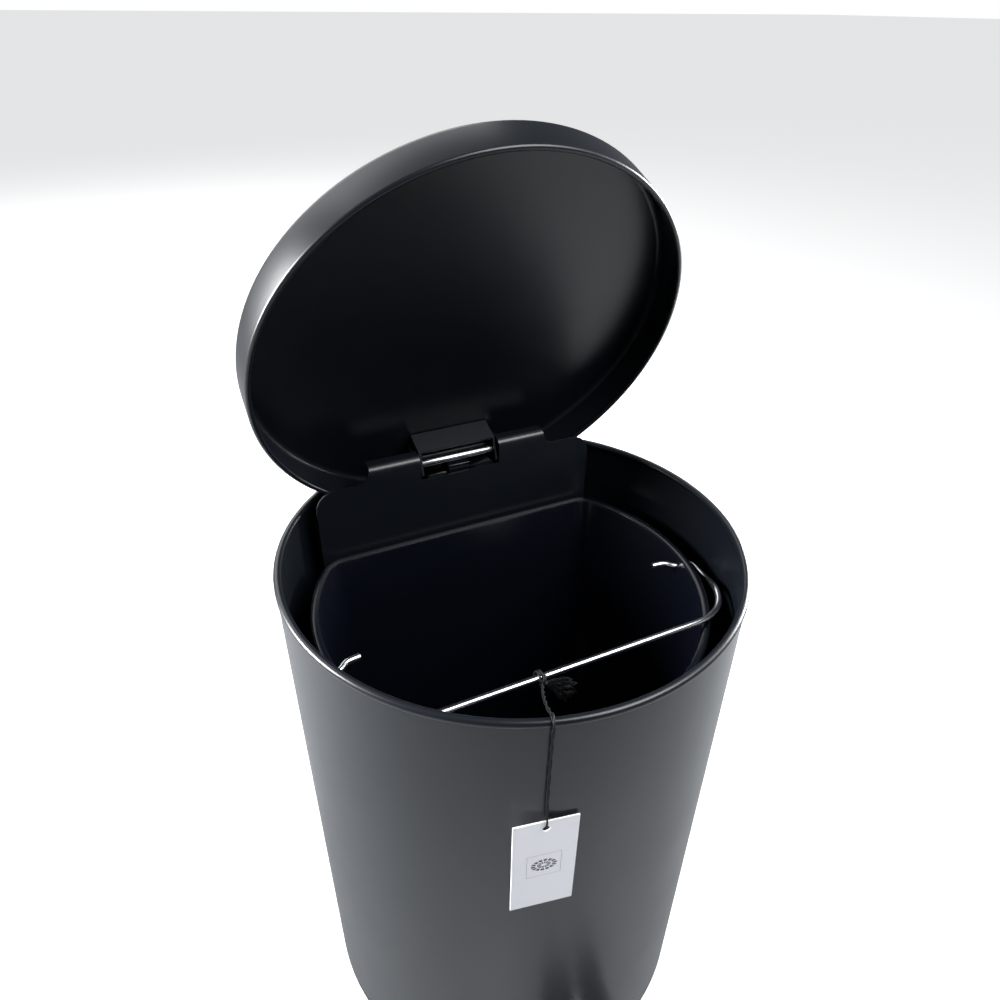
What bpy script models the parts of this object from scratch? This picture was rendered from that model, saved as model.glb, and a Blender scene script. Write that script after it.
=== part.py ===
"""Pedal trash can with a hinged lid, a lift-out bucket and a hang tag.

World frame: metres, +Z up. The can stands on z = 0 with its axis on Z, the pedal points to -Y and
the lid hinge is at +Y. The lid is modelled open and the pedal is pressed. Sizes below are in
millimetres and are turned into metres by the helpers.
"""

import bmesh
import bpy
from math import cos, pi, radians, sin
from mathutils import Matrix, Vector

MM = 0.001
STEPS = 64

# Body
RIM_Z = 275.0
RIM_RADIUS = 100.8
RIM_TUBE = 1.7
WALL_OUTER = 101.9
WALL_INNER = 100.9
WALL_BOTTOM = 5.0

# Lid and hinge
HINGE_Y = 69.1
HINGE_Z = 286.3
LID_OPEN = 67.87
LID_RADIUS = 97.0
PIN_RADIUS = 2.0
CRANK = (-2.5, -5.8)

# Push rod and pedal
ROD_Y = 64.7
ROD_RADIUS = 2.0
AXLE_Y = 5.0
AXLE_Z = 12.0

# Bucket and its wire handle
BUCKET_RADIUS = 88.3
BUCKET_BACK = 53.8
BUCKET_CORNER = 12.0
BUCKET_TAPER = 4.3
BUCKET_RIM_Z = 247.3
PIVOT_Y = -12.5
PIVOT_Z = 243.0
WIRE_RADIUS = 1.5
BAR_Y = -56.0
BAR_Z = 250.35

# Hang tag
TAG_CENTRE = (-32.65, -98.84, 198.0)
TAG_TURN = -11.15
TAG_WIDTH = 25.9
TAG_HEIGHT = 54.9
TAG_HOLE_DROP = 4.5
CORD_RADIUS = 0.65


def clear_scene():
    for item in list(bpy.data.objects):
        bpy.data.objects.remove(item, do_unlink=True)


def new_collection(name):
    collection = bpy.data.collections.new(name)
    bpy.context.scene.collection.children.link(collection)
    return collection


def new_material(name, colour, metallic, roughness):
    material = bpy.data.materials.new(name)
    material.use_nodes = True
    shader = material.node_tree.nodes["Principled BSDF"]
    shader.inputs["Base Color"].default_value = (*colour, 1.0)
    shader.inputs["Metallic"].default_value = metallic
    shader.inputs["Roughness"].default_value = roughness
    material.diffuse_color = (*colour, 1.0)
    return material


def place(name, mesh, material=None, parent=None, location=(0, 0, 0), rotation=(0, 0, 0)):
    """Put a mesh in the parts collection, or in the cutters collection when it has no material."""
    item = bpy.data.objects.new(name, mesh)
    item.location = [value * MM for value in location]
    item.rotation_euler = [radians(value) for value in rotation]
    item.parent = parent
    if material is None:
        CUTTERS.objects.link(item)
        item.hide_render = True
        item.display_type = "WIRE"
    else:
        PARTS.objects.link(item)
        mesh.materials.append(material)
    return item


def axis_empty(name, location, rotation=(0, 0, 0)):
    empty = bpy.data.objects.new(name, None)
    empty.location = [value * MM for value in location]
    empty.rotation_euler = [radians(value) for value in rotation]
    PARTS.objects.link(empty)
    return empty


def finish_mesh(shape, name, smooth=False):
    bmesh.ops.recalc_face_normals(shape, faces=shape.faces)
    for face in shape.faces:
        face.smooth = smooth
    mesh = bpy.data.meshes.new(name)
    shape.to_mesh(mesh)
    shape.free()
    return mesh


def box_mesh(name, low, high):
    shape = bmesh.new()
    bmesh.ops.create_cube(shape, size=1.0)
    size = [(b - a) * MM for a, b in zip(low, high)]
    middle = [(a + b) / 2 * MM for a, b in zip(low, high)]
    bmesh.ops.scale(shape, vec=size, verts=shape.verts)
    bmesh.ops.translate(shape, vec=middle, verts=shape.verts)
    return finish_mesh(shape, name)


def prism_mesh(name, outline, axis, low, high):
    """Extrude an outline along X, Y or Z; the outline holds the two other coordinates."""
    order = {"X": (2, 0, 1), "Y": (0, 2, 1), "Z": (0, 1, 2)}[axis]
    shape = bmesh.new()
    corners = []
    for first, second in outline:
        local = (first, second, low)
        corners.append(shape.verts.new([local[index] * MM for index in order]))
    face = shape.faces.new(corners)
    grown = bmesh.ops.extrude_face_region(shape, geom=[face])
    verts = [item for item in grown["geom"] if isinstance(item, bmesh.types.BMVert)]
    step = [0.0, 0.0, 0.0]
    step["XYZ".index(axis)] = (high - low) * MM
    bmesh.ops.translate(shape, vec=step, verts=verts)
    return finish_mesh(shape, name)


def rod_mesh(name, radius, low, high, segments=24):
    """A plain round bar along the X axis."""
    shape = bmesh.new()
    turn = Matrix.Translation(((low + high) / 2 * MM, 0, 0)) @ Matrix.Rotation(pi / 2, 4, "Y")
    bmesh.ops.create_cone(
        shape, cap_ends=True, segments=segments, radius1=radius * MM, radius2=radius * MM,
        depth=(high - low) * MM, matrix=turn,
    )
    return finish_mesh(shape, name)


def turned(name, profile, material, closed=True, steps=STEPS, **placing):
    """Turn a profile of (radius, height) points about the object's own Z axis."""
    mesh = bpy.data.meshes.new(name)
    points = [(radius * MM, 0.0, height * MM) for radius, height in profile]
    edges = [(index, index + 1) for index in range(len(points) - 1)]
    if closed:
        edges.append((len(points) - 1, 0))
    mesh.from_pydata(points, edges, [])
    item = place(name, mesh, material, **placing)
    screw = item.modifiers.new("turn", "SCREW")
    screw.axis = "Z"
    screw.steps = steps
    screw.render_steps = steps
    screw.use_merge_vertices = True
    screw.merge_threshold = 0.00001
    screw.use_smooth_shade = True
    return item


def combine(target, other, operation):
    modifier = target.modifiers.new(other.name, "BOOLEAN")
    modifier.operation = operation
    modifier.solver = "EXACT"
    modifier.object = other


def arc(centre, radius, start, end, count):
    points = []
    for index in range(count + 1):
        angle = radians(start + (end - start) * index / count)
        points.append((centre[0] + radius * cos(angle), centre[1] + radius * sin(angle)))
    return points


def soft_path(points, reach, count=5):
    """Round the inner corners of a path."""
    points = [Vector(point) for point in points]
    path = [points[0]]
    for before, corner, after in zip(points, points[1:], points[2:]):
        back = min(reach, (before - corner).length * 0.45)
        ahead = min(reach, (after - corner).length * 0.45)
        start = corner + (before - corner).normalized() * back
        end = corner + (after - corner).normalized() * ahead
        for index in range(count + 1):
            part = index / count
            path.append(start.lerp(corner, part).lerp(corner.lerp(end, part), part))
    path.append(points[-1])
    return path


def tube_mesh(name, path, radius, origin=(0, 0, 0)):
    """A round wire along a path, with closed ends and its origin moved to the given point."""
    curve = bpy.data.curves.new(name + "_route", "CURVE")
    curve.dimensions = "3D"
    curve.bevel_depth = radius * MM
    curve.bevel_resolution = 2
    curve.use_fill_caps = True
    spline = curve.splines.new("POLY")
    spline.points.add(len(path) - 1)
    for point, place_at in zip(spline.points, path):
        spot = [(value - zero) * MM for value, zero in zip(place_at, origin)]
        point.co = (*spot, 1.0)
    route = bpy.data.objects.new(name + "_route", curve)
    bpy.context.scene.collection.objects.link(route)
    graph = bpy.context.evaluated_depsgraph_get()
    mesh = bpy.data.meshes.new_from_object(route.evaluated_get(graph))
    bpy.data.objects.remove(route, do_unlink=True)
    shape = bmesh.new()
    shape.from_mesh(mesh)
    bmesh.ops.remove_doubles(shape, verts=shape.verts, dist=0.00001)
    result = finish_mesh(shape, name, smooth=True)
    bpy.data.meshes.remove(mesh)
    return result


# ---------------------------------------------------------------- body and base

def build_body_shell():
    bead = arc((RIM_RADIUS, RIM_Z), RIM_TUBE, 90, -50, 5)
    roll = arc((RIM_RADIUS, RIM_Z), RIM_TUBE, 270, 120, 5)
    wall = [(WALL_OUTER, WALL_BOTTOM), (WALL_INNER, WALL_BOTTOM)]
    shell = turned("body_shell", bead + wall + roll, PAINT)
    notch = box_mesh("shell_notch", (-10, -110, 0), (10, -90, 30))
    combine(shell, place("shell_notch", notch), "DIFFERENCE")


def build_base():
    profile = [(0, 2), (96, 2), (96, 26.7), (100.6, 26.7), (100.6, 4.7)]
    profile += [(WALL_OUTER, 4.7), (WALL_OUTER, 0.8), (WALL_OUTER - 0.8, 0), (0, 0)]
    pan = turned("base_pan", profile, BLACK_PLASTIC, closed=False)
    notch = box_mesh("pan_notch", (-10, -105, 7), (10, -90, 40))
    combine(pan, place("pan_notch", notch), "DIFFERENCE")

    panel = turned("floor_panel", [(0, 28), (100.5, 28), (100.5, 27), (0, 27)], STEEL, closed=False)
    holes = bmesh.new()
    for x, y, radius in [(0, ROD_Y, 3.5)] + [(x, y, 1.8) for x, y in SCREW_SPOTS]:
        bmesh.ops.create_cone(
            holes, cap_ends=True, segments=24, radius1=radius * MM, radius2=radius * MM,
            depth=0.01, matrix=Matrix.Translation((x * MM, y * MM, 0.0275)),
        )
    combine(panel, place("panel_holes", finish_mesh(holes, "panel_holes")), "DIFFERENCE")


SCREW_SPOTS = [(-15.5, -6.0), (15.5, -6.0), (-15.5, 16.0), (15.5, 16.0)]


def plate_outline():
    """Front view of the hinge plate, right half: shoulder, dip, raised centre and the slot."""
    right = [(72.9, 180.0), (72.9, RIM_Z + 0.3)]
    right += arc((62.9, RIM_Z + 0.3), 10.0, 18, 90, 4)
    right += [(50.5, RIM_Z + 10.3), (48.2, RIM_Z + 11.6), (46.6, RIM_Z + 14.2)]
    right += [(46.0, RIM_Z + 17.0), (46.0, 296.0), (20.8, 296.0), (20.8, 280.2)]
    left = [(-x, z) for x, z in reversed(right)]
    return right + left


def build_hinge_plate():
    section = [(57.5, 180), (57.5, 289.5)] + arc((61.0, 289.5), 3.5, 180, 90, 5)[1:]
    section += [(64.8, 293.0), (64.8, 292.0)] + arc((61.0, 289.5), 2.5, 90, 180, 5) + [(58.5, 180)]
    plate = place("hinge_plate", prism_mesh("hinge_plate", section, "X", -72.9, 72.9), PAINT)
    outline = prism_mesh("plate_outline", plate_outline(), "Y", 50, 80)
    combine(plate, place("plate_outline", outline), "INTERSECT")
    ear = [(57.9, 268), (57.9, 287), (58.4, 289.8), (60.0, 291.5), (62.0, 292.4)]
    ear += arc((HINGE_Y, HINGE_Z), 6.0, 88, -52, 8)
    bore = rod_mesh("plate_bore", 3.3, -30, 30)
    for side, sign in (("left", -1), ("right", 1)):
        wing = box_mesh("wing_" + side, (min(sign * 71.9, sign * 72.9), 57.5, 180),
                        (max(sign * 71.9, sign * 72.9), 69.0, 262))
        combine(plate, place("wing_" + side, wing), "UNION")
        cheek = prism_mesh("cheek_" + side, ear, "X", min(sign * 21.3, sign * 22.5),
                           max(sign * 21.3, sign * 22.5))
        combine(plate, place("cheek_" + side, cheek), "UNION")
        tab = box_mesh("tab_" + side, (min(sign * 8.5, sign * 16.5), 57.7, 279.2),
                       (max(sign * 8.5, sign * 16.5), 60.2, 280.1))
        combine(plate, place("tab_" + side, tab), "UNION")
    combine(plate, place("plate_bore", bore, location=(0, HINGE_Y, HINGE_Z)), "DIFFERENCE")


def build_hinge_pin():
    spot = {"location": (0, HINGE_Y, HINGE_Z), "rotation": (0, 90, 0)}
    profile = [(0, 26.4), (PIN_RADIUS - 0.4, 26.4), (PIN_RADIUS, 26.0), (PIN_RADIUS, 25.3)]
    profile += [(1.3, 25.3), (1.3, 24.1), (PIN_RADIUS, 24.1), (PIN_RADIUS, -24.2)]
    profile += [(3.4, -24.2), (3.4, -25.6), (0, -25.6)]
    turned("hinge_pin", profile, STEEL, closed=False, steps=24, **spot)
    clip = [(3.6, 25.1), (3.6, 24.3), (1.6, 24.3), (1.6, 25.1)]
    turned("hinge_pin_clip", clip, STEEL, steps=24, **spot)
    for side, sign in (("left", -1), ("right", 1)):
        bush = [(4.6, 21.0), (4.6, 20.5), (2.35, 20.5), (2.35, 23.4), (2.95, 23.4), (2.95, 21.0)]
        turn = {"location": (0, HINGE_Y, HINGE_Z), "rotation": (0, 90 * sign, 0)}
        turned("hinge_bush_" + side, bush, NATURAL_NYLON, steps=24, **turn)


# ---------------------------------------------------------------- lid

def build_lid():
    joint = axis_empty("lid_axis", (0, HINGE_Y, HINGE_Z), (-LID_OPEN, 0, 0))
    outer = [(0, 8.9)] + arc((LID_RADIUS - 3.5, 5.4), 3.5, 90, 0, 4)
    bead = arc((LID_RADIUS - 1.2, -8.1), 1.2, 0, -290, 9)
    inner = [(96.2, -6.4)] + arc((LID_RADIUS - 3.5, 5.4), 2.7, 0, 90, 4) + [(0, 8.1)]
    turned("lid_pan", outer + bead + inner, PAINT, closed=False, parent=joint,
           location=(0, -HINGE_Y, 0))

    ear = [(-9.2, 7.8), (-9.2, -4.2), (-0.9, -11.8), (0.4, -11.7), (1.4, -10.9), (5.5, -6.5)]
    ear += [(6.5, -3.0), (6.5, 7.8)]
    base = box_mesh("lid_bracket", (-20.2, -9.2, 6.6), (20.2, 12.0, 7.8))
    bracket = place("lid_bracket", base, PAINT, parent=joint)
    web = box_mesh("bracket_web", (-20.2, -9.2, -4.2), (20.2, -8.0, 7.8))
    combine(bracket, place("bracket_web", web, parent=joint), "UNION")
    for side, low, high in (("left", -20.2, -19.0), ("right", 19.0, 20.2)):
        cheek = prism_mesh("ear_" + side, ear, "X", low, high)
        combine(bracket, place("ear_" + side, cheek, parent=joint), "UNION")
    bore = rod_mesh("ear_bore", 2.4, -30, 30)
    combine(bracket, place("ear_bore", bore, parent=joint), "DIFFERENCE")
    bore = rod_mesh("crank_bore", 2.35, -30, 30)
    combine(bracket, place("crank_bore", bore, parent=joint, location=(0, *CRANK)), "DIFFERENCE")
    pin = rod_mesh("crank_pin", PIN_RADIUS, -20.1, 20.1)
    place("crank_pin", pin, STEEL, parent=joint, location=(0, *CRANK))


# ---------------------------------------------------------------- push rod

def build_push_rod():
    profile = [(0, 275.6), (1.6, 275.6), (ROD_RADIUS, 275.2), (ROD_RADIUS, 14.4), (1.6, 14.0)]
    profile += [(0, 14.0)]
    turned("push_rod", profile, STEEL, closed=False, steps=24, location=(0, ROD_Y, 0))

    pad = box_mesh("rod_head", (-5.5, -4.7, 278.3), (5.5, 4.8, 283.5))
    head = place("rod_head", pad, BLACK_PLASTIC, location=(0, ROD_Y, 0))
    shape = bmesh.new()
    bmesh.ops.create_cone(
        shape, cap_ends=True, segments=24, radius1=0.0035, radius2=0.0045, depth=0.0185,
        matrix=Matrix.Translation((0, 0, 0.27015)),
    )
    sleeve = place("head_sleeve", finish_mesh(shape, "head_sleeve"), location=(0, ROD_Y, 0))
    combine(head, sleeve, "UNION")
    shape = bmesh.new()
    bmesh.ops.create_cone(
        shape, cap_ends=True, segments=24, radius1=0.00235, radius2=0.00235, depth=0.016,
        matrix=Matrix.Translation((0, 0, 0.268)),
    )
    bore = place("head_bore", finish_mesh(shape, "head_bore"), location=(0, ROD_Y, 0))
    combine(head, bore, "DIFFERENCE")


def build_rod_guides():
    block = box_mesh("rod_guide", (-6, -5.9, 210), (6, 5.5, 218))
    guide = place("rod_guide", block, BLACK_PLASTIC, location=(0, ROD_Y, 0))
    shape = bmesh.new()
    bmesh.ops.create_cone(
        shape, cap_ends=True, segments=24, radius1=0.0024, radius2=0.0024, depth=0.02,
        matrix=Matrix.Translation((0, 0, 0.214)),
    )
    bore = place("guide_bore", finish_mesh(shape, "guide_bore"), location=(0, ROD_Y, 0))
    combine(guide, bore, "DIFFERENCE")
    bush = [(5.0, 29.3), (5.0, 28.3), (3.15, 28.3), (3.15, 25.4), (2.4, 25.4), (2.4, 29.3)]
    turned("rod_bush", bush, NATURAL_NYLON, steps=24, location=(0, ROD_Y, 0))


# ---------------------------------------------------------------- pedal

def build_pedal():
    joint = axis_empty("pedal_axis", (0, AXLE_Y, AXLE_Z))
    strip = box_mesh("pedal_lever", (-8, -147, -1.5), (8, 65, 1.5))
    lever = place("pedal_lever", strip, STEEL, parent=joint)
    combine(lever, place("lever_boss", rod_mesh("lever_boss", 5.0, -7.9, 7.9), parent=joint), "UNION")
    combine(lever, place("lever_bore", rod_mesh("lever_bore", 2.85, -9, 9), parent=joint), "DIFFERENCE")
    shape = bmesh.new()
    for y in RIVET_SPOTS:
        bmesh.ops.create_cone(
            shape, cap_ends=True, segments=20, radius1=0.0024, radius2=0.0024, depth=0.02,
            matrix=Matrix.Translation((0, y * MM, 0)),
        )
    bores = place("rivet_bores", finish_mesh(shape, "rivet_bores"), parent=joint)
    combine(lever, bores, "DIFFERENCE")

    pad = box_mesh("pedal_pad", (-26, -155, 1.8), (26, -113, 4.3))
    pad = place("pedal_pad", pad, PAINT, parent=joint)
    edge = pad.modifiers.new("soft_edge", "BEVEL")
    edge.width = 0.0008
    edge.segments = 2
    combine(pad, bores, "DIFFERENCE")

    ribs = [(-24, 4.6), (-24, 6.0)]
    for index in range(7):
        start = -21.5 + index * 6.4
        ribs += [(start, 6.0), (start + 0.6, 6.8), (start + 3.4, 6.8), (start + 4.0, 6.0)]
    ribs += [(24, 6.0), (24, 4.6)]
    grip = prism_mesh("pedal_grip", ribs, "Y", -153, -115)
    grip = place("pedal_grip", grip, RUBBER, parent=joint)
    combine(grip, bores, "DIFFERENCE")
    for index, y in enumerate(RIVET_SPOTS):
        profile = [(0, 8.3), (2.2, 8.1), (3.4, 7.5), (3.4, 7.1), (2.0, 7.1)]
        profile += [(2.0, -1.8), (3.4, -1.8), (3.0, -2.8), (0, -2.8)]
        turned(f"pad_rivet_{index + 1}", profile, STEEL, closed=False, steps=20, parent=joint,
               location=(0, y, 0))


RIVET_SPOTS = [-143.0, -125.0]


def build_pedal_bracket():
    top = box_mesh("pedal_bracket", (-21, -12, 25.4), (21, 22, 26.6))
    bracket = place("pedal_bracket", top, STEEL)
    cheek = [(-5, 26.4), (-5, 18), (-1.5, 8)] + arc((AXLE_Y, AXLE_Z), 6.5, 225, 315, 4)
    cheek += [(11.5, 8), (15, 18), (15, 26.4)]
    for side, low, high in (("left", -11.5, -10.0), ("right", 10.0, 11.5)):
        part = prism_mesh("axle_cheek_" + side, cheek, "X", low, high)
        combine(bracket, place("axle_cheek_" + side, part), "UNION")
    bore = place("axle_bore", rod_mesh("axle_bore", 2.85, -14, 14), location=(0, AXLE_Y, AXLE_Z))
    combine(bracket, bore, "DIFFERENCE")
    shape = bmesh.new()
    for x, y in SCREW_SPOTS:
        bmesh.ops.create_cone(
            shape, cap_ends=True, segments=20, radius1=0.0018, radius2=0.0018, depth=0.01,
            matrix=Matrix.Translation((x * MM, y * MM, 0.026)),
        )
    combine(bracket, place("screw_bores", finish_mesh(shape, "screw_bores")), "DIFFERENCE")
    for index, (x, y) in enumerate(SCREW_SPOTS):
        profile = [(0, 29.8), (2.2, 29.6), (2.9, 28.9), (2.9, 28.3), (1.4, 28.3)]
        profile += [(1.4, 21.2), (0.7, 20.0), (0, 20.0)]
        turned(f"bracket_screw_{index + 1}", profile, STEEL, closed=False, steps=20,
               location=(x, y, 0))

    spot = {"location": (0, AXLE_Y, AXLE_Z), "rotation": (0, 90, 0)}
    profile = [(0, 14.6), (2.1, 14.6), (2.5, 14.2), (2.5, 13.4), (1.8, 13.4), (1.8, 12.2)]
    profile += [(2.5, 12.2), (2.5, -11.9), (4.2, -11.9), (4.2, -13.2), (0, -13.2)]
    turned("pedal_axle", profile, STEEL, closed=False, steps=24, **spot)
    clip = [(4.4, 13.2), (4.4, 12.4), (2.1, 12.4), (2.1, 13.2)]
    turned("pedal_axle_clip", clip, STEEL, steps=24, **spot)


# ---------------------------------------------------------------- bucket and handle

def bucket_outline(offset):
    """One D-shaped loop of the bucket, grown or shrunk by an offset."""
    radius = BUCKET_RADIUS + offset
    back = BUCKET_BACK + offset
    corner = BUCKET_CORNER + offset
    centre_y = back - corner
    centre_x = ((radius - corner) ** 2 - centre_y ** 2) ** 0.5
    join = pi / 2 - Vector((centre_x, centre_y)).angle_signed(Vector((1, 0)))
    start = radians(90) - join
    points = []
    for index in range(6):
        angle = pi / 2 + (start - pi / 2) * index / 5
        points.append((centre_x + corner * cos(angle), centre_y + corner * sin(angle)))
    sweep = start + pi / 2
    for index in range(1, 23):
        angle = start - sweep * index / 22
        points.append((radius * cos(angle), radius * sin(angle)))
    mirrored = [(-x, y) for x, y in reversed(points[:-1])]
    return points + mirrored


def build_bucket():
    rim = arc((1.2, BUCKET_RIM_Z), 1.2, -110, 90, 6)
    rows = [(-6.5, 30.3), (-4.9, 30.8), (-4.3, 32.3), (0.0, 245.9)] + rim
    rows += [(-0.6, BUCKET_RIM_Z + 1.1), (-1.6, BUCKET_RIM_Z), (-5.9, 33.7), (-7.9, 31.9)]
    shape = bmesh.new()
    loops = []
    for offset, height in rows:
        outline = bucket_outline(offset)
        loops.append([shape.verts.new((x * MM, y * MM, height * MM)) for x, y in outline])
    for lower, upper in zip(loops, loops[1:]):
        for index in range(len(lower)):
            other = (index + 1) % len(lower)
            shape.faces.new((lower[index], lower[other], upper[other], upper[index]))
    shape.faces.new(loops[0])
    shape.faces.new(loops[-1])
    bucket = place("inner_bucket", finish_mesh(shape, "inner_bucket"), BLACK_PLASTIC)
    bore = rod_mesh("handle_bore", 1.9, -95, 95)
    bore = place("handle_bore", bore, location=(0, PIVOT_Y, PIVOT_Z))
    combine(bucket, bore, "DIFFERENCE")


def build_handle():
    right = [(74.5, -7.4, 243.2), (81.0, -8.6, 243.6), (84.6, PIVOT_Y, PIVOT_Z)]
    right += [(94.0, PIVOT_Y, PIVOT_Z), (92.2, -24.0, 243.6), (90.2, -31.5, 246.0)]
    right += [(86.6, -39.5, 249.6), (82.0, -47.6, BAR_Z), (76.5, -52.8, BAR_Z)]
    right += [(68.0, BAR_Y, BAR_Z)]
    path = right + [(-x, y, z) for x, y, z in reversed(right)]
    mesh = tube_mesh("bucket_handle", soft_path(path, 6.0), WIRE_RADIUS, (0, PIVOT_Y, PIVOT_Z))
    place("bucket_handle", mesh, STEEL_WIRE, location=(0, PIVOT_Y, PIVOT_Z))


# ---------------------------------------------------------------- hang tag

def build_cord():
    ring = arc((2.75, 0), CORD_RADIUS, 90, -240, 11)
    turned("cord_knot", ring, TWINE, steps=16, location=(-14.2, BAR_Y, BAR_Z), rotation=(0, 90, 0))
    path = [(-15.9, -61.6, 252.6), (-20.8, -70.5, 259.3), (-26.2, -81.5, 268.2)]
    path += [(-29.6, -90.0, 274.0), (-30.6, -93.2, 276.6), (-31.4, -95.9, 278.0)]
    path += [(-32.1, -98.1, 276.9), (-32.2, -98.6, 274.5), (-32.2, -98.15, 271.0)]
    path += [(-32.4, -98.1, 250.0), (-32.7, -98.6, 232.0), (-32.7, -98.85, 226.9)]
    place("tag_cord", tube_mesh("tag_cord", soft_path(path, 2.0, 3), CORD_RADIUS), TWINE)
    tail = [(-8.6, -58.9, 247.4), (-5.6, -59.6, 243.6), (-3.0, -59.9, 238.6)]
    place("cord_tail", tube_mesh("cord_tail", soft_path(tail, 2.0, 3), 1.2), TWINE)


def build_tag():
    hole_z = TAG_CENTRE[2] + TAG_HEIGHT / 2 - TAG_HOLE_DROP
    joint = axis_empty("tag_axis", (TAG_CENTRE[0], TAG_CENTRE[1], hole_z), (0, 0, TAG_TURN))
    half = TAG_WIDTH / 2
    card = box_mesh("tag_card", (-half, -0.3, TAG_HOLE_DROP - TAG_HEIGHT), (half, 0.3, TAG_HOLE_DROP))
    card = place("tag_card", card, CARD, parent=joint)
    shape = bmesh.new()
    bmesh.ops.create_cone(
        shape, cap_ends=True, segments=20, radius1=0.0015, radius2=0.0015, depth=0.01,
        matrix=Matrix.Rotation(pi / 2, 4, "X"),
    )
    combine(card, place("tag_hole", finish_mesh(shape, "tag_hole"), parent=joint), "DIFFERENCE")


clear_scene()
PARTS = new_collection("pedal_trash_can")
CUTTERS = new_collection("cutters")
CUTTERS.hide_render = True

PAINT = new_material("black_powder_coat", (0.018, 0.019, 0.022), 0.0, 0.32)
STEEL = new_material("zinc_plated_steel", (0.55, 0.56, 0.58), 1.0, 0.35)
STEEL_WIRE = new_material("bright_wire", (0.72, 0.72, 0.74), 1.0, 0.2)
BLACK_PLASTIC = new_material("black_plastic", (0.02, 0.02, 0.021), 0.0, 0.5)
NATURAL_NYLON = new_material("natural_nylon", (0.78, 0.76, 0.7), 0.0, 0.5)
RUBBER = new_material("black_rubber", (0.03, 0.03, 0.03), 0.0, 0.8)
TWINE = new_material("black_twine", (0.02, 0.02, 0.02), 0.0, 0.9)
CARD = new_material("white_card", (0.86, 0.86, 0.88), 0.0, 0.6)

build_body_shell()
build_base()
build_hinge_plate()
build_hinge_pin()
build_lid()
build_push_rod()
build_rod_guides()
build_pedal()
build_pedal_bracket()
build_bucket()
build_handle()
build_cord()
build_tag()
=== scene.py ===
"""Pedal trash can: the finished pieces, their materials, the studio and the camera."""

from math import cos, pi, radians, sin, sqrt

import bmesh
import bpy
from bpy.props import FloatProperty, FloatVectorProperty, IntProperty, PointerProperty
from mathutils import Matrix, Vector


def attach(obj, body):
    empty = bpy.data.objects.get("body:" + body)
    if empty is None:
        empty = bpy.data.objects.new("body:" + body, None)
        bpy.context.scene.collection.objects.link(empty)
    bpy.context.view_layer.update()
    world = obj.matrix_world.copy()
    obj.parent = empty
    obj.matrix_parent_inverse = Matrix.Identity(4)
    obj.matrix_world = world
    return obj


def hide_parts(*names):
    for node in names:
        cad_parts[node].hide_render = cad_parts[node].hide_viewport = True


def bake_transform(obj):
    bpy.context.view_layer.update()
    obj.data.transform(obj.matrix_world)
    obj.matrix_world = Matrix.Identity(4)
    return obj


bl_info = {
    "name": "Pedal Trash Can",
    "version": (1, 0, 0),
    "blender": (4, 5, 0),
    "location": "View3D > Sidebar > Trash Can",
    "description": "Builds the finished pieces of a pedal trash can around its frame",
    "category": "Object",
}

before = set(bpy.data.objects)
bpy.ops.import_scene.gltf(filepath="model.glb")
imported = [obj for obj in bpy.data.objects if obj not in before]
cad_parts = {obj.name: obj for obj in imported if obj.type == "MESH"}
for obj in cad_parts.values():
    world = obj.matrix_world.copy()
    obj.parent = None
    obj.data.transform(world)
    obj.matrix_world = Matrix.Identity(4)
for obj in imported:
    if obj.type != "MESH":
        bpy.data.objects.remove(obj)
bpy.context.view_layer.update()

MM = 0.001
HINGE = Vector((0.0, 0.0691, 0.2863))
LID_OPEN = 67.87
CRANK_PIN_OFFSET = Vector((0, -0.0025, -0.0058))
CRANK_PIN_RADIUS = 0.002
CRANK_PIN_LENGTH = 0.0402
TAG_TURN = -11.15
TAG_CENTRE = Vector((-0.03265, -0.09884, 0.198))
CORD_PITCH = 0.016
KNOT_RING = 0.0021
KNOT_STRAND = 0.0006
LOOSE_ENDS = 44
LOOSE_END_RADIUS = 0.00021
LOOP_HALF_WIDTH = 0.00085
LOOP_HALF_HEIGHT = 0.0026
LOOP_STRAND = 0.00036
LOOP_DROP = 0.0024

HANDLE_ROUTE = [
    (74.5, -7.4, 243.2), (81.0, -8.6, 243.6), (84.6, -12.5, 243.0), (94.0, -12.5, 243.0),
    (92.2, -24.0, 243.6), (90.2, -31.5, 246.0), (86.6, -39.5, 249.6), (82.0, -47.6, 250.35),
    (76.5, -52.8, 250.35), (68.0, -56.0, 250.35),
]
CORD_ROUTE = [
    (-15.9, -61.6, 252.6), (-20.8, -70.5, 259.3), (-26.2, -81.5, 268.2),
    (-29.6, -90.0, 274.0), (-30.6, -93.2, 276.6), (-31.4, -95.9, 278.0),
    (-32.1, -98.1, 276.9), (-32.2, -98.6, 274.5), (-32.2, -98.15, 271.0),
    (-32.4, -98.1, 250.0), (-32.7, -98.6, 232.0), (-32.7, -98.85, 226.9),
]
KNOT_TURNS = (
    [(-15.6, -57.4, 251.6), (-14.6, -58.6, 250.4), (-13.2, -58.7, 249.2), (-12.0, -57.8, 248.4)],
    [(-12.6, -57.0, 252.2), (-13.4, -58.6, 251.2), (-14.6, -58.8, 249.6), (-15.2, -57.6, 248.2)],
)


# ------------------------------------------------------------------ settings

class CanSizes(bpy.types.PropertyGroup):
    """Sizes of the finished pieces"""

    steps: IntProperty(name="Round steps", description="Steps round each turned piece", default=160)
    wire: FloatProperty(
        name="Handle wire radius", description="Radius of the bucket's wire handle",
        default=0.0015, unit="LENGTH",
    )
    cord: FloatProperty(
        name="Cord radius", description="Radius of the hang tag's twisted cord",
        default=0.00065, unit="LENGTH",
    )
    edge: FloatProperty(
        name="Edge rounding", description="Rounding of the small stamped pieces' edges",
        default=0.00018, unit="LENGTH",
    )


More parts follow.
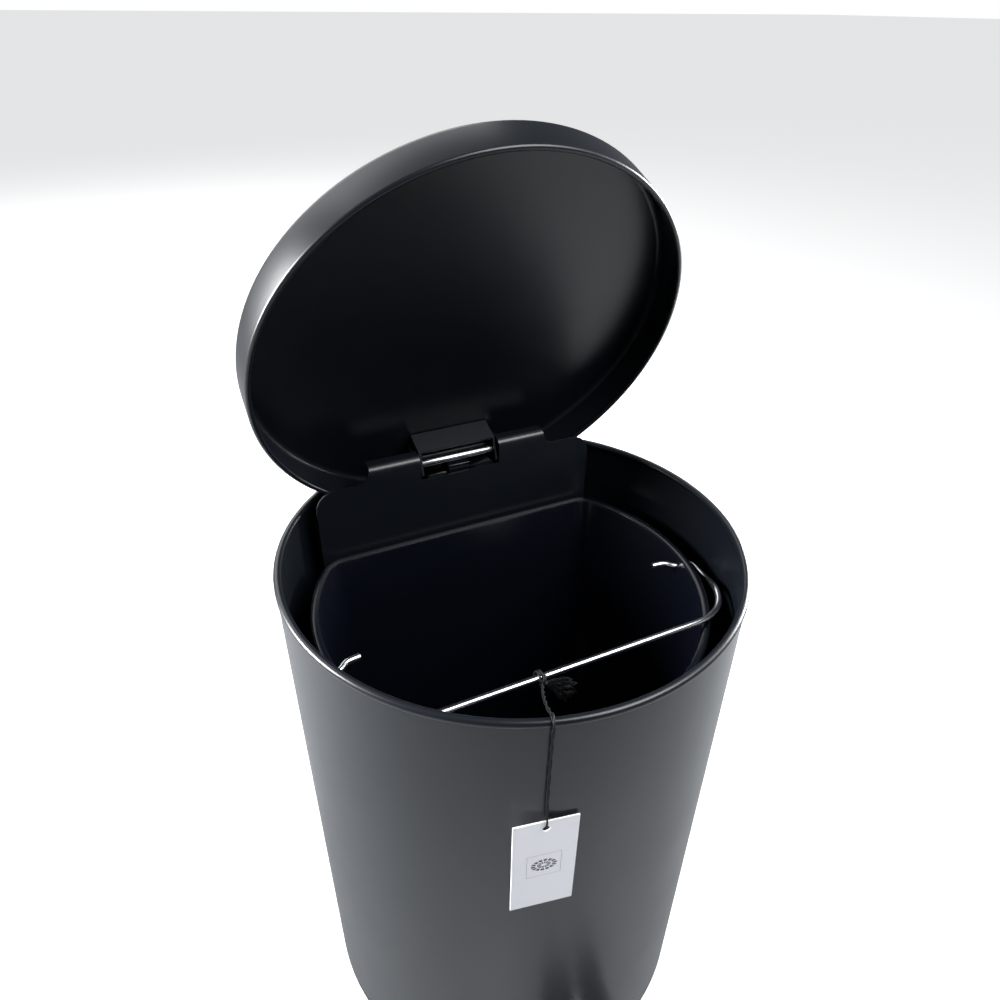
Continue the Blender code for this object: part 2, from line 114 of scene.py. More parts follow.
class CanColours(bpy.types.PropertyGroup):
    """Colours of the finishes"""

    coat: FloatVectorProperty(
        name="Powder coat", description="Colour of the painted steel", subtype="COLOR",
        size=4, default=(0.004, 0.0055, 0.0085, 1.0), min=0.0, max=1.0,
    )
    plastic: FloatVectorProperty(
        name="Bucket plastic", description="Colour of the moulded pieces", subtype="COLOR",
        size=4, default=(0.002, 0.003, 0.006, 1.0), min=0.0, max=1.0,
    )
    card: FloatVectorProperty(
        name="Tag card", description="Colour of the hang tag", subtype="COLOR",
        size=4, default=(0.93, 0.93, 0.97, 1.0), min=0.0, max=1.0,
    )


def sizes():
    return bpy.context.scene.can_sizes


def colours():
    return bpy.context.scene.can_colours


# ------------------------------------------------------------------ materials

def grain_group():
    """Fine surface grain: a roughness that wanders a little and a height for a bump."""
    group = bpy.data.node_groups.get("Surface Grain")
    if group:
        return group
    group = bpy.data.node_groups.new("Surface Grain", "ShaderNodeTree")
    made = group.interface.new_socket
    made("Scale", in_out="INPUT", socket_type="NodeSocketFloat").default_value = 1200.0
    made("Roughness", in_out="INPUT", socket_type="NodeSocketFloat").default_value = 0.4
    made("Wander", in_out="INPUT", socket_type="NodeSocketFloat").default_value = 0.06
    made("Roughness", in_out="OUTPUT", socket_type="NodeSocketFloat")
    made("Height", in_out="OUTPUT", socket_type="NodeSocketFloat")
    nodes, links = group.nodes, group.links
    source = nodes.new("NodeGroupInput")
    result = nodes.new("NodeGroupOutput")
    coords = nodes.new("ShaderNodeTexCoord")
    fine = nodes.new("ShaderNodeTexNoise")
    fine.inputs["Detail"].default_value = 3.0
    links.new(coords.outputs["Object"], fine.inputs["Vector"])
    links.new(source.outputs["Scale"], fine.inputs["Scale"])
    links.new(fine.outputs["Fac"], result.inputs["Height"])
    broad = nodes.new("ShaderNodeTexNoise")
    broad.inputs["Scale"].default_value = 24.0
    broad.inputs["Detail"].default_value = 4.0
    links.new(coords.outputs["Object"], broad.inputs["Vector"])
    centre = nodes.new("ShaderNodeMath")
    centre.operation = "SUBTRACT"
    centre.inputs[1].default_value = 0.5
    links.new(broad.outputs["Fac"], centre.inputs[0])
    spread = nodes.new("ShaderNodeMath")
    spread.operation = "MULTIPLY_ADD"
    links.new(centre.outputs[0], spread.inputs[0])
    links.new(source.outputs["Wander"], spread.inputs[1])
    links.new(source.outputs["Roughness"], spread.inputs[2])
    links.new(spread.outputs[0], result.inputs["Roughness"])
    return group


def finish_material(name, colour, metallic, roughness, grain=1200.0, bump=0.02, wander=0.08,
                    specular=0.5):
    """A Principled finish with the shared grain."""
    found = bpy.data.materials.get(name)
    if found:
        return found
    material = bpy.data.materials.new(name)
    material.use_nodes = True
    nodes, links = material.node_tree.nodes, material.node_tree.links
    shader = nodes["Principled BSDF"]
    shader.inputs["Base Color"].default_value = colour
    shader.inputs["Metallic"].default_value = metallic
    shader.inputs["Specular IOR Level"].default_value = specular
    surface = nodes.new("ShaderNodeGroup")
    surface.node_tree = grain_group()
    surface.inputs["Scale"].default_value = grain
    surface.inputs["Roughness"].default_value = roughness
    surface.inputs["Wander"].default_value = wander
    links.new(surface.outputs["Roughness"], shader.inputs["Roughness"])
    relief = nodes.new("ShaderNodeBump")
    relief.inputs["Strength"].default_value = bump
    relief.inputs["Distance"].default_value = 0.0002
    links.new(surface.outputs["Height"], relief.inputs["Height"])
    links.new(relief.outputs["Normal"], shader.inputs["Normal"])
    return material


def powder_coat():
    return finish_material("Black Powder Coat", colours().coat, 0.0, 0.32, 1500.0, 0.05, 0.06, 0.5)


def moulded_plastic():
    return finish_material("Moulded Black Plastic", colours().plastic, 0.0, 0.24, 2200.0, 0.03)


def zinc_steel():
    return finish_material("Zinc Plated Steel", (0.56, 0.57, 0.6, 1), 1.0, 0.3, 700.0, 0.05, 0.15)


def bright_wire():
    return finish_material("Bright Drawn Wire", (0.66, 0.66, 0.69, 1), 1.0, 0.22, 600.0, 0.02, 0.1)


def dark_steel():
    return finish_material("Blackened Steel", (0.03, 0.03, 0.033, 1), 0.6, 0.4, 700.0, 0.05)


def white_nylon():
    return finish_material("Natural Nylon", (0.74, 0.72, 0.66, 1), 0.0, 0.45)


def black_rubber():
    return finish_material("Black Rubber", (0.02, 0.02, 0.021, 1), 0.0, 0.75, 900.0, 0.12)


def twine_material():
    return finish_material("Black Twine", (0.0015, 0.002, 0.003, 1), 0.0, 0.6, 2600.0, 0.3, 0.08,
                           0.25)


def tag_paper():
    """White card with a thin printed square and a plain motif of rings inside it."""
    material = finish_material("Tag Card", colours().card, 0.0, 0.55, 1800.0, 0.03)
    nodes, links = material.node_tree.nodes, material.node_tree.links
    if nodes.get("Print"):
        return material
    shader = nodes["Principled BSDF"]
    uv = nodes.new("ShaderNodeUVMap")
    uv.uv_map = "Card"
    split = nodes.new("ShaderNodeSeparateXYZ")
    links.new(uv.outputs["UV"], split.inputs[0])

    def math(operation, first, second=None):
        node = nodes.new("ShaderNodeMath")
        node.operation = operation
        for socket, value in ((0, first), (1, second)):
            if value is None:
                continue
            if isinstance(value, (int, float)):
                node.inputs[socket].default_value = value
            else:
                links.new(value, node.inputs[socket])
        return node.outputs[0]

    across = math("ABSOLUTE", split.outputs["X"])
    along = math("ABSOLUTE", split.outputs["Y"])
    reach = math("MAXIMUM", across, along)
    line = math("COMPARE", reach, 6.9)
    line.node.inputs[2].default_value = 0.12
    radius = math("POWER", math("ADD", math("POWER", math("DIVIDE", across, 1.45), 2.0),
                                math("POWER", along, 2.0)), 0.5)
    ring = math("LESS_THAN", math("ABSOLUTE", math("SUBTRACT", radius, 3.0)), 0.6)
    small = math("LESS_THAN", math("ABSOLUTE", math("SUBTRACT", radius, 1.4)), 0.55)
    angle = math("ARCTAN2", split.outputs["Y"], math("DIVIDE", split.outputs["X"], 1.45))
    petals = math("GREATER_THAN", math("SINE", math("MULTIPLY", angle, 14.0)), -0.6)
    motif = math("MULTIPLY", math("MAXIMUM", ring, small), petals)
    ink = math("MAXIMUM", math("MULTIPLY", line, 0.45), math("MULTIPLY", motif, 0.96))
    mix = nodes.new("ShaderNodeMix")
    mix.name = "Print"
    mix.data_type = "RGBA"
    mix.inputs["A"].default_value = colours().card
    mix.inputs["B"].default_value = (0.02, 0.014, 0.02, 1)
    links.new(ink, mix.inputs["Factor"])
    links.new(mix.outputs["Result"], shader.inputs["Base Color"])
    return material


def floor_material():
    """Pale studio floor; it throws back only a part of its light onto the dark can."""
    material = bpy.data.materials.new("Pale Floor")
    material.use_nodes = True
    nodes, links = material.node_tree.nodes, material.node_tree.links
    surface = nodes["Principled BSDF"]
    surface.inputs["Base Color"].default_value = (0.26, 0.27, 0.28, 1)
    surface.inputs["Roughness"].default_value = 0.9
    surface.inputs["Specular IOR Level"].default_value = 0.0
    pale = nodes.new("ShaderNodeBsdfDiffuse")
    pale.inputs["Color"].default_value = (0.5, 0.5, 0.5, 1)
    glow = nodes.new("ShaderNodeEmission")
    glow.inputs["Strength"].default_value = 0.72
    seen = nodes.new("ShaderNodeAddShader")
    links.new(pale.outputs[0], seen.inputs[0])
    links.new(glow.outputs[0], seen.inputs[1])
    rays = nodes.new("ShaderNodeLightPath")
    mix = nodes.new("ShaderNodeMixShader")
    links.new(rays.outputs["Is Camera Ray"], mix.inputs[0])
    links.new(surface.outputs[0], mix.inputs[1])
    links.new(seen.outputs[0], mix.inputs[2])
    links.new(mix.outputs[0], nodes["Material Output"].inputs["Surface"])
    return material


# ------------------------------------------------------------------ mesh helpers

def soften(shape, angle=32.0):
    """Smooth shading with sharp edges where faces meet at more than an angle."""
    limit = radians(angle)
    for face in shape.faces:
        face.smooth = True
    for edge in shape.edges:
        edge.smooth = len(edge.link_faces) == 2 and edge.calc_face_angle(0.0) < limit


def make_piece(name, shape, material, body, *nodes, angle=32.0, recalculate=True):
    """Turn a bmesh into a piece on a body, standing for the given frame nodes."""
    bmesh.ops.remove_doubles(shape, verts=shape.verts, dist=0.000002)
    if recalculate:
        bmesh.ops.recalc_face_normals(shape, faces=shape.faces)
    soften(shape, angle)
    mesh = bpy.data.meshes.new(name)
    shape.to_mesh(mesh)
    shape.free()
    mesh.materials.append(material)
    piece = bpy.data.objects.new(name, mesh)
    bpy.context.scene.collection.objects.link(piece)
    if body:
        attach(piece, body)
    if nodes:
        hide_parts(*nodes)
    return piece


def arc(centre, radius, start, end, count):
    points = []
    for index in range(count + 1):
        angle = radians(start + (end - start) * index / count)
        points.append((centre[0] + radius * cos(angle), centre[1] + radius * sin(angle)))
    return points


def spun(profile, steps, closed, centre=(0.0, 0.0, 0.0)):
    """Spin a (radius, height) profile, in millimetres, round the Z axis through a centre."""
    shape = bmesh.new()
    verts = [shape.verts.new((radius * MM, 0.0, height * MM)) for radius, height in profile]
    edges = [shape.edges.new(pair) for pair in zip(verts, verts[1:])]
    if closed:
        edges.append(shape.edges.new((verts[-1], verts[0])))
    bmesh.ops.spin(
        shape, geom=verts + edges, cent=(0, 0, 0), axis=(0, 0, 1), angle=2 * pi,
        steps=steps, use_merge=True, use_duplicate=False,
    )
    bmesh.ops.remove_doubles(shape, verts=shape.verts, dist=0.000002)
    bmesh.ops.translate(shape, vec=centre, verts=shape.verts)
    return shape


def cut_with_box(piece, low, high):
    """Cut a box out of a piece and keep the result in its mesh."""
    shape = bmesh.new()
    bmesh.ops.create_cube(shape, size=1.0)
    low, high = Vector(low) * MM, Vector(high) * MM
    bmesh.ops.scale(shape, vec=high - low, verts=shape.verts)
    bmesh.ops.translate(shape, vec=(low + high) / 2, verts=shape.verts)
    mesh = bpy.data.meshes.new("cutter")
    shape.to_mesh(mesh)
    shape.free()
    cutter = bpy.data.objects.new("cutter", mesh)
    bpy.context.scene.collection.objects.link(cutter)
    modifier = piece.modifiers.new("cut", "BOOLEAN")
    modifier.operation = "DIFFERENCE"
    modifier.solver = "EXACT"
    modifier.object = cutter
    graph = bpy.context.evaluated_depsgraph_get()
    result = bpy.data.meshes.new_from_object(piece.evaluated_get(graph))
    piece.modifiers.remove(modifier)
    old = piece.data
    result.name = old.name
    piece.data = result
    bpy.data.meshes.remove(old)
    bpy.data.objects.remove(cutter, do_unlink=True)
    bpy.data.meshes.remove(mesh)


def refine_node(node, body, material, edge=None, angle=30.0):
    """A clean smooth-shaded copy of a frame node with slightly rounded edges."""
    shape = bmesh.new()
    shape.from_mesh(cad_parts[node].data)
    bmesh.ops.remove_doubles(shape, verts=shape.verts, dist=0.000005)
    bmesh.ops.dissolve_limit(
        shape, angle_limit=radians(1.0), verts=shape.verts, edges=shape.edges,
    )
    name = node + "_finished"
    piece = make_piece(name, shape, material, body, node, angle=angle, recalculate=False)
    if edge:
        bevel = piece.modifiers.new("soft edge", "BEVEL")
        bevel.width = edge
        bevel.segments = 2
        bevel.limit_method = "ANGLE"
        bevel.angle_limit = radians(50)
        bevel.harden_normals = False
    return piece


def smooth_route(points, count):
    """Points on a smooth curve through the route's own points, in metres."""
    knots = [Vector(point) * MM for point in points]
    knots = [2 * knots[0] - knots[1]] + knots + [2 * knots[-1] - knots[-2]]
    path = []
    for index in range(1, len(knots) - 2):
        a, b, c, d = knots[index - 1:index + 3]
        for part in range(count):
            t = part / count
            path.append(0.5 * (2 * b + (c - a) * t + (2 * a - 5 * b + 4 * c - d) * t * t
                               + (3 * b - a - 3 * c + d) * t ** 3))
    path.append(knots[-2])
    return path


def rounded_route(points, reach, count=8):
    """Straight runs with rounded corners, in metres."""
    points = [Vector(point) * MM for point in points]
    path = [points[0]]
    for before, corner, after in zip(points, points[1:], points[2:]):
        back = min(reach, (before - corner).length * 0.45)
        ahead = min(reach, (after - corner).length * 0.45)
        start = corner + (before - corner).normalized() * back
        end = corner + (after - corner).normalized() * ahead
        for index in range(count + 1):
            part = index / count
            path.append(start.lerp(corner, part).lerp(corner.lerp(end, part), part))
    path.append(points[-1])
    return path


def tube_into(shape, path, radius, sides=12):
    """Sweep a ring along a path with operators and close both ends."""
    heading = (path[1] - path[0]).normalized()
    turn = heading.to_track_quat("Z", "Y").to_matrix().to_4x4()
    made = bmesh.ops.create_circle(
        shape, cap_ends=False, segments=sides, radius=radius,
        matrix=Matrix.Translation(path[0]) @ turn,
    )
    ring = made["verts"]
    first = list({edge for vert in ring for edge in vert.link_edges})
    edges = first
    bmesh.ops.holes_fill(shape, edges=first, sides=sides)
    for index in range(1, len(path)):
        before = path[index] - path[index - 1]
        after = path[min(index + 1, len(path) - 1)] - path[index]
        wanted = (before.normalized() + after.normalized()).normalized() if after.length else before
        swing = heading.rotation_difference(wanted).to_matrix().to_4x4()
        grown = bmesh.ops.extrude_edge_only(shape, edges=edges)["geom"]
        verts = [item for item in grown if isinstance(item, bmesh.types.BMVert)]
        edges = [item for item in grown if isinstance(item, bmesh.types.BMEdge)
                 and all(vert in verts for vert in item.verts)]
        move = (Matrix.Translation(path[index]) @ swing @ Matrix.Translation(-path[index - 1]))
        bmesh.ops.transform(shape, matrix=move, verts=verts)
        heading = wanted
    bmesh.ops.holes_fill(shape, edges=edges, sides=sides)


# ------------------------------------------------------------------ pieces

class TRASHCAN_OT_body(bpy.types.Operator):
    """Rolled and painted steel body with its pedal notch"""

    bl_idname = "trash_can.body"
    bl_label = "Body"

    def execute(self, context):
        bead = arc((100.8, 275.0), 1.7, 90, -50, 12)
        wall = [(101.9, 272.8), (101.9, 180.0), (101.9, 90.0), (101.9, 5.2), (101.7, 5.0)]
        wall += [(101.1, 5.0), (100.9, 5.2), (100.9, 90.0), (100.9, 180.0)]
        roll = arc((100.8, 275.0), 1.7, 268, 100, 12)
        shape = spun(bead + wall + roll, sizes().steps, True)
        piece = make_piece("body_finished", shape, powder_coat(), "can", "body_shell")
        cut_with_box(piece, (-10, -110, 0), (10, -90, 30))
        return {"FINISHED"}


class TRASHCAN_OT_base(bpy.types.Operator):
    """Base pan, floor panel and the pedal bracket with its screws"""

    bl_idname = "trash_can.base"
    bl_label = "Base"

    def execute(self, context):
        profile = [(0, 2), (96, 2), (96, 26.4), (96.3, 26.7), (100.3, 26.7), (100.6, 26.4)]
        profile += [(100.6, 4.7), (101.5, 4.7), (101.9, 4.3), (101.9, 0.8), (101.7, 0.25)]
        profile += [(101.1, 0.0), (0, 0)]
        shape = spun(profile, sizes().steps, False)
        piece = make_piece("base_pan_finished", shape, moulded_plastic(), "can", "base_pan")
        cut_with_box(piece, (-10, -105, 7), (10, -90, 40))
        refine_node("floor_panel", "can", zinc_steel())
        refine_node("pedal_bracket", "can", zinc_steel(), sizes().edge)
        for index in range(4):
            refine_node(f"bracket_screw_{index + 1}", "can", zinc_steel())
        return {"FINISHED"}


class TRASHCAN_OT_hinge(bpy.types.Operator):
    """Stamped hinge plate with its pin, clip and bushes"""

    bl_idname = "trash_can.hinge"
    bl_label = "Hinge plate"

    def execute(self, context):
        refine_node("hinge_plate", "can", powder_coat(), sizes().edge, angle=38.0)
        refine_node("hinge_pin", "can", dark_steel())
        refine_node("hinge_pin_clip", "can", zinc_steel())
        refine_node("hinge_bush_left", "can", white_nylon())
        refine_node("hinge_bush_right", "can", white_nylon())
        return {"FINISHED"}


class TRASHCAN_OT_lid(bpy.types.Operator):
    """Drawn steel lid, turned open about its hinge, with its bracket and crank pin"""

    bl_idname = "trash_can.lid"
    bl_label = "Lid"

    def execute(self, context):
        outer = [(0, 8.9), (60, 8.9)] + arc((93.5, 5.4), 3.5, 90, 0, 10)
        bead = arc((95.8, -8.1), 1.2, 0, -290, 20)
        inner = [(96.2, -6.4)] + arc((93.5, 5.4), 2.7, 0, 90, 10) + [(60, 8.1), (0, 8.1)]
        centre = (0.0, -HINGE.y, 0.0)
        shape = spun(outer + bead + inner, sizes().steps, False, centre)
        turn = Matrix.Translation(HINGE) @ Matrix.Rotation(radians(-LID_OPEN), 4, "X")
        bmesh.ops.transform(shape, matrix=turn, verts=shape.verts)
        make_piece("lid_finished", shape, powder_coat(), "lid", "lid_pan")
        refine_node("lid_bracket", "lid", powder_coat(), sizes().edge, angle=38.0)

        shape = bmesh.new()
        spot = HINGE + Vector((0, *(Matrix.Rotation(radians(-LID_OPEN), 3, "X")
                                    @ CRANK_PIN_OFFSET).yz))
        matrix = Matrix.Translation(spot) @ Matrix.Rotation(pi / 2, 4, "Y")
        bmesh.ops.create_cone(
            shape, cap_ends=True, segments=48, radius1=CRANK_PIN_RADIUS, radius2=CRANK_PIN_RADIUS,
            depth=CRANK_PIN_LENGTH, matrix=matrix,
        )
        ends = [edge for edge in shape.edges if edge.calc_face_angle(0) > 1.0]
        bmesh.ops.bevel(
            shape, geom=ends, offset=0.0003, offset_type="OFFSET", segments=2, profile=0.5,
            affect="EDGES", material=-1,
        )
        make_piece("crank_pin_finished", shape, bright_wire(), "lid", "crank_pin")
        return {"FINISHED"}


class TRASHCAN_OT_push_rod(bpy.types.Operator):
    """Push rod, its head, guide and bush"""

    bl_idname = "trash_can.push_rod"
    bl_label = "Push rod"

    def execute(self, context):
        refine_node("push_rod", "push_rod_assembly", zinc_steel())
        refine_node("rod_head", "push_rod_assembly", moulded_plastic(), 0.0003)
        refine_node("rod_guide", "can", moulded_plastic(), 0.0004)
        refine_node("rod_bush", "can", white_nylon())
        return {"FINISHED"}


class TRASHCAN_OT_pedal(bpy.types.Operator):
    """Pedal lever, pad, rubber grip, rivets, axle and clip"""

    bl_idname = "trash_can.pedal"
    bl_label = "Pedal"

    def execute(self, context):
        refine_node("pedal_lever", "pedal", zinc_steel(), 0.0003)
        refine_node("pedal_pad", "pedal", powder_coat())
        refine_node("pedal_grip", "pedal", black_rubber(), 0.0002)
        refine_node("pad_rivet_1", "pedal", zinc_steel())
        refine_node("pad_rivet_2", "pedal", zinc_steel())
        refine_node("pedal_axle", "can", zinc_steel())
        refine_node("pedal_axle_clip", "can", zinc_steel())
        return {"FINISHED"}


def bucket_outline(offset, corner_steps=12, arc_steps=60):
    """One D-shaped loop of the bucket, in millimetres, grown or shrunk by an offset."""
    radius = 88.3 + offset
    corner = 12.0 + offset
    centre_y = 53.8 + offset - corner
    centre_x = sqrt((radius - corner) ** 2 - centre_y ** 2)
    start = Vector((1, 0)).angle(Vector((centre_x, centre_y)))
    points = []
    for index in range(corner_steps + 1):
        angle = pi / 2 + (start - pi / 2) * index / corner_steps
        points.append((centre_x + corner * cos(angle), centre_y + corner * sin(angle)))
    sweep = start + pi / 2
    for index in range(1, arc_steps + 1):
        angle = start - sweep * index / arc_steps
        points.append((radius * cos(angle), radius * sin(angle)))
    return points + [(-x, y) for x, y in reversed(points[:-1])]


class TRASHCAN_OT_bucket(bpy.types.Operator):
    """Moulded lift-out bucket with a rolled rim and a flat back"""

    bl_idname = "trash_can.bucket"
    bl_label = "Bucket"

    def execute(self, context):
        rim = arc((1.2, 247.3), 1.2, -110, 90, 12)
        foot = arc((-6.3, 32.3), 2.0, 270, 360, 5)
        rows = [(-8.0, 30.3)] + foot + [(-2.15, 139.0), (0.0, 245.9)] + rim
        rows += [(-0.6, 248.35), (-1.25, 248.0), (-1.6, 247.2), (-3.75, 139.0)]
        rows += [(-5.9, 33.9), (-6.3, 32.8), (-7.9, 31.9)]
        shape = bmesh.new()
        before = None
        for offset, height in rows:
            outline = bucket_outline(offset)
            verts = [shape.verts.new((x * MM, y * MM, height * MM)) for x, y in outline]
            loop = [shape.edges.new(pair) for pair in zip(verts, verts[1:] + verts[:1])]
            if before:
                bmesh.ops.bridge_loops(shape, edges=before + loop)
            else:
                bmesh.ops.holes_fill(shape, edges=loop, sides=len(loop))
            before = loop
        bmesh.ops.holes_fill(shape, edges=before, sides=len(before))
        make_piece("bucket_finished", shape, moulded_plastic(), "bucket", "inner_bucket")
        return {"FINISHED"}


class TRASHCAN_OT_handle(bpy.types.Operator):
    """Bent wire handle of the bucket"""

    bl_idname = "trash_can.handle"
    bl_label = "Handle"

    def execute(self, context):
        route = HANDLE_ROUTE + [(-x, y, z) for x, y, z in reversed(HANDLE_ROUTE)]
        shape = bmesh.new()
        tube_into(shape, rounded_route(route, 0.006), sizes().wire, 20)
        make_piece("handle_finished", shape, bright_wire(), "handle", "bucket_handle", angle=50.0)
        return {"FINISHED"}


class TRASHCAN_OT_cord(bpy.types.Operator):
    """Twisted cord of the hang tag, its loop through the card, its knot and the loose ends"""

    bl_idname = "trash_can.cord"
    bl_label = "Cord"

    def execute(self, context):
        path = smooth_route(CORD_ROUTE, 40)
        shape = bmesh.new()
        lengths = [0.0]
        for a, b in zip(path, path[1:]):
            lengths.append(lengths[-1] + (b - a).length)
        strands = ([], [])
        for index, point in enumerate(path):
            ahead = path[min(index + 1, len(path) - 1)] - path[max(index - 1, 0)]
            across = ahead.normalized().cross(Vector((0.98, -0.19, 0.0))).normalized()
            side = ahead.normalized().cross(across).normalized()
            turn = lengths[index] / CORD_PITCH * 2 * pi
            out = (across * cos(turn) + side * sin(turn)) * sizes().cord * 0.55
            strands[0].append(point + out)
            strands[1].append(point - out)
        for strand in strands:
            tube_into(shape, strand, sizes().cord * 0.5, 10)
        cord = make_piece("tag_cord_finished", shape, twine_material(), None, angle=60.0)
        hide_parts("tag_cord")
        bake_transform(cord)

        shape = bmesh.new()
        for shift, lean in ((-0.0009, 0.12), (0.0009, -0.1)):
            ring = []
            for index in range(29):
                angle = 2 * pi * index / 28 * 0.97
                ring.append(Vector((-0.0139 + shift + lean * 0.004 * sin(angle),
                                    -0.055 + KNOT_RING * cos(angle), 0.2501 + KNOT_RING * sin(angle))))
            tube_into(shape, ring, KNOT_STRAND, 10)
        for lump in KNOT_TURNS:
            tube_into(shape, smooth_route(lump, 6), 0.0008, 10)
        knot = make_piece(
            "cord_knot_finished", shape, twine_material(), "handle", "cord_knot", angle=60.0,
        )

        shape = bmesh.new()
        for index in range(LOOSE_ENDS):
            spread = (index * 0.618) % 1.0
            angle = radians(-6 - 52 * spread)
            reach = (12.5 + 8.0 * min(1.0, 1.6 * spread)) * (0.62 + 0.38 * ((index * 0.271) % 1.0))
            wave = 0.35 + 0.35 * ((index * 0.533) % 1.0)
            strand = []
            for part in range(11):
                t = part / 10
                swell = wave * min(1.0, 2.5 * t)
                strand.append((
                    -13.0 + reach * cos(angle) * t + swell * sin(13 * t + index),
                    -57.6 - 1.3 * ((index * 0.367) % 1.0) * t + 0.4 * swell * cos(15 * t + 2 * index),
                    249.0 + reach * sin(angle) * t + swell * sin(14 * t + 3 * index),
                ))
            tube_into(shape, smooth_route(strand, 3), LOOSE_END_RADIUS, 6)
        tail = make_piece(
            "cord_ends_finished", shape, twine_material(), "handle", "cord_tail", angle=60.0,
        )

        shape = bmesh.new()
        turns = [2 * pi * index / 24 for index in range(24)]
        ring = [Vector((0.0, -LOOP_HALF_WIDTH * cos(turn), LOOP_HALF_HEIGHT * sin(turn)))
                for turn in turns]
        tube_into(shape, ring, LOOP_STRAND, 8)
        turn = Matrix.Rotation(radians(TAG_TURN), 4, "Z")
        spot = Vector((path[-1].x, path[-1].y, path[-1].z - LOOP_DROP))
        bmesh.ops.transform(shape, matrix=Matrix.Translation(spot) @ turn, verts=shape.verts)
        loop = make_piece("cord_loop", shape, twine_material(), "tag", angle=60.0)
        return {"FINISHED"}


class TRASHCAN_OT_tag(bpy.types.Operator):
    """Printed card on the end of the cord"""

    bl_idname = "trash_can.tag"
    bl_label = "Hang tag"

    def execute(self, context):
        piece = refine_node("tag_card", "tag", tag_paper(), 0.00008)
        layer = piece.data.uv_layers.new(name="Card")
        turn = Matrix.Rotation(radians(-TAG_TURN), 3, "Z")
        for corner in piece.data.loops:
            spot = turn @ (piece.data.vertices[corner.vertex_index].co - TAG_CENTRE)
            layer.data[corner.index].uv = (spot.x / MM, spot.z / MM)
        return {"FINISHED"}


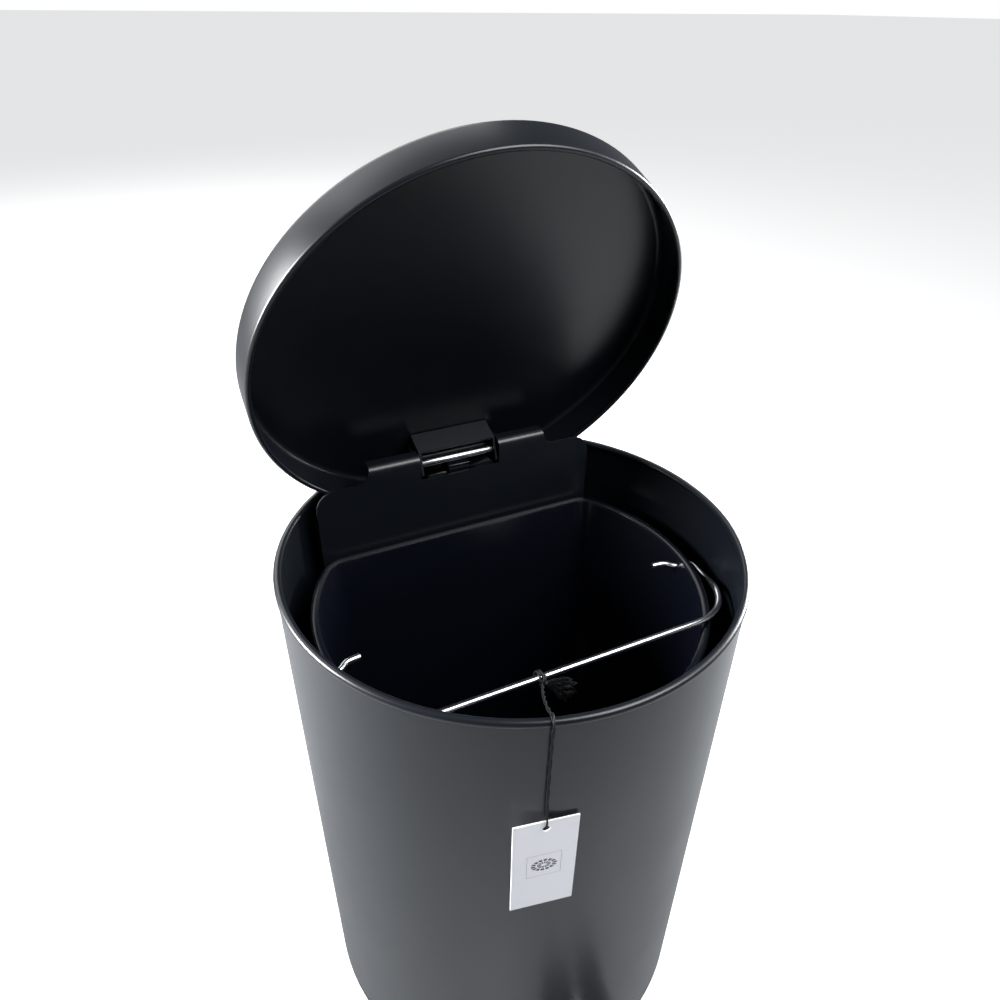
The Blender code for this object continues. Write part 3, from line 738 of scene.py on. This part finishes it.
class TRASHCAN_OT_stage(bpy.types.Operator):
    """Pale floor, soft studio light and the camera"""

    bl_idname = "trash_can.stage"
    bl_label = "Stage"

    def execute(self, context):
        shape = bmesh.new()
        bmesh.ops.create_grid(shape, x_segments=1, y_segments=1, size=40.0)
        mesh = bpy.data.meshes.new("floor")
        shape.to_mesh(mesh)
        shape.free()
        floor = bpy.data.objects.new("floor", mesh)
        floor.location.z = -0.0005
        mesh.materials.append(floor_material())
        bpy.context.scene.collection.objects.link(floor)

        world = bpy.data.worlds.new("studio")
        world.use_nodes = True
        nodes, links = world.node_tree.nodes, world.node_tree.links
        backdrop = nodes["Background"]
        backdrop.inputs[0].default_value = (0.80, 0.9, 1.0, 1)
        backdrop.inputs[1].default_value = 0.13
        plain_white = nodes.new("ShaderNodeBackground")
        plain_white.inputs[0].default_value = (1.0, 1.0, 1.0, 1)
        rays = nodes.new("ShaderNodeLightPath")
        mix = nodes.new("ShaderNodeMixShader")
        links.new(rays.outputs["Is Camera Ray"], mix.inputs[0])
        links.new(backdrop.outputs[0], mix.inputs[1])
        links.new(plain_white.outputs[0], mix.inputs[2])
        links.new(mix.outputs[0], nodes["World Output"].inputs["Surface"])
        bpy.context.scene.world = world
        lamps = [
            ("left", (-0.80, 0.30, 0.50), (-0.25, 0.05, 0.1), 0.4, 32.0),
            ("right", (0.80, 0.06, 0.42), (0.25, -0.06, 0.05), 0.4, 22.0),
            ("top", (0.35, -0.45, 1.0), (0.0, 0.0, 0.25), 0.6, 11.0),
            ("back", (-0.2, 1.5, 1.2), (-0.1, 0.6, 0.0), 1.6, 20.0),
        ]
        for name, spot, target, size, power in lamps:
            light = bpy.data.lights.new(name, "AREA")
            light.size = size
            light.energy = power
            lamp = bpy.data.objects.new(name, light)
            lamp.location = spot
            aim = Vector(target) - Vector(spot)
            lamp.rotation_euler = aim.to_track_quat("-Z", "Y").to_euler()
            lamp.visible_camera = False
            bpy.context.scene.collection.objects.link(lamp)

        lens = bpy.data.cameras.new("camera")
        lens.sensor_width = 36.0
        lens.lens = 27.334
        lens.clip_start = 0.01
        camera = bpy.data.objects.new("camera", lens)
        right = Vector((0.90495, -0.42540, 0.00984))
        up = Vector((0.22614, 0.50040, 0.83574))
        back = right.cross(up)
        camera.matrix_world = Matrix((
            (right.x, up.x, back.x, -0.12166),
            (right.y, up.y, back.y, -0.24223),
            (right.z, up.z, back.z, 0.47579),
            (0, 0, 0, 1),
        ))
        bpy.context.scene.collection.objects.link(camera)
        bpy.context.scene.camera = camera
        bpy.context.scene.view_settings.view_transform = "Standard"
        return {"FINISHED"}


class TRASHCAN_PT_panel(bpy.types.Panel):
    """Builds the trash can's pieces"""

    bl_label = "Pedal Trash Can"
    bl_idname = "TRASHCAN_PT_panel"
    bl_space_type = "VIEW_3D"
    bl_region_type = "UI"
    bl_category = "Trash Can"

    def draw(self, context):
        layout = self.layout
        for name in ("steps", "wire", "cord", "edge"):
            layout.prop(context.scene.can_sizes, name)
        for name in ("coat", "plastic", "card"):
            layout.prop(context.scene.can_colours, name)
        for operator in OPERATORS:
            layout.operator(operator.bl_idname)


OPERATORS = (
    TRASHCAN_OT_body, TRASHCAN_OT_base, TRASHCAN_OT_hinge, TRASHCAN_OT_lid, TRASHCAN_OT_push_rod,
    TRASHCAN_OT_pedal, TRASHCAN_OT_bucket, TRASHCAN_OT_handle, TRASHCAN_OT_tag, TRASHCAN_OT_cord,
    TRASHCAN_OT_stage,
)
CLASSES = (CanSizes, CanColours) + OPERATORS + (TRASHCAN_PT_panel,)


def register():
    for item in CLASSES:
        bpy.utils.register_class(item)
    bpy.types.Scene.can_sizes = PointerProperty(type=CanSizes)
    bpy.types.Scene.can_colours = PointerProperty(type=CanColours)


def unregister():
    del bpy.types.Scene.can_colours
    del bpy.types.Scene.can_sizes
    for item in reversed(CLASSES):
        bpy.utils.unregister_class(item)


def main():
    register()
    for operator in OPERATORS:
        group, name = operator.bl_idname.split(".")
        getattr(getattr(bpy.ops, group), name)()


if __name__ == "__main__":
    main()
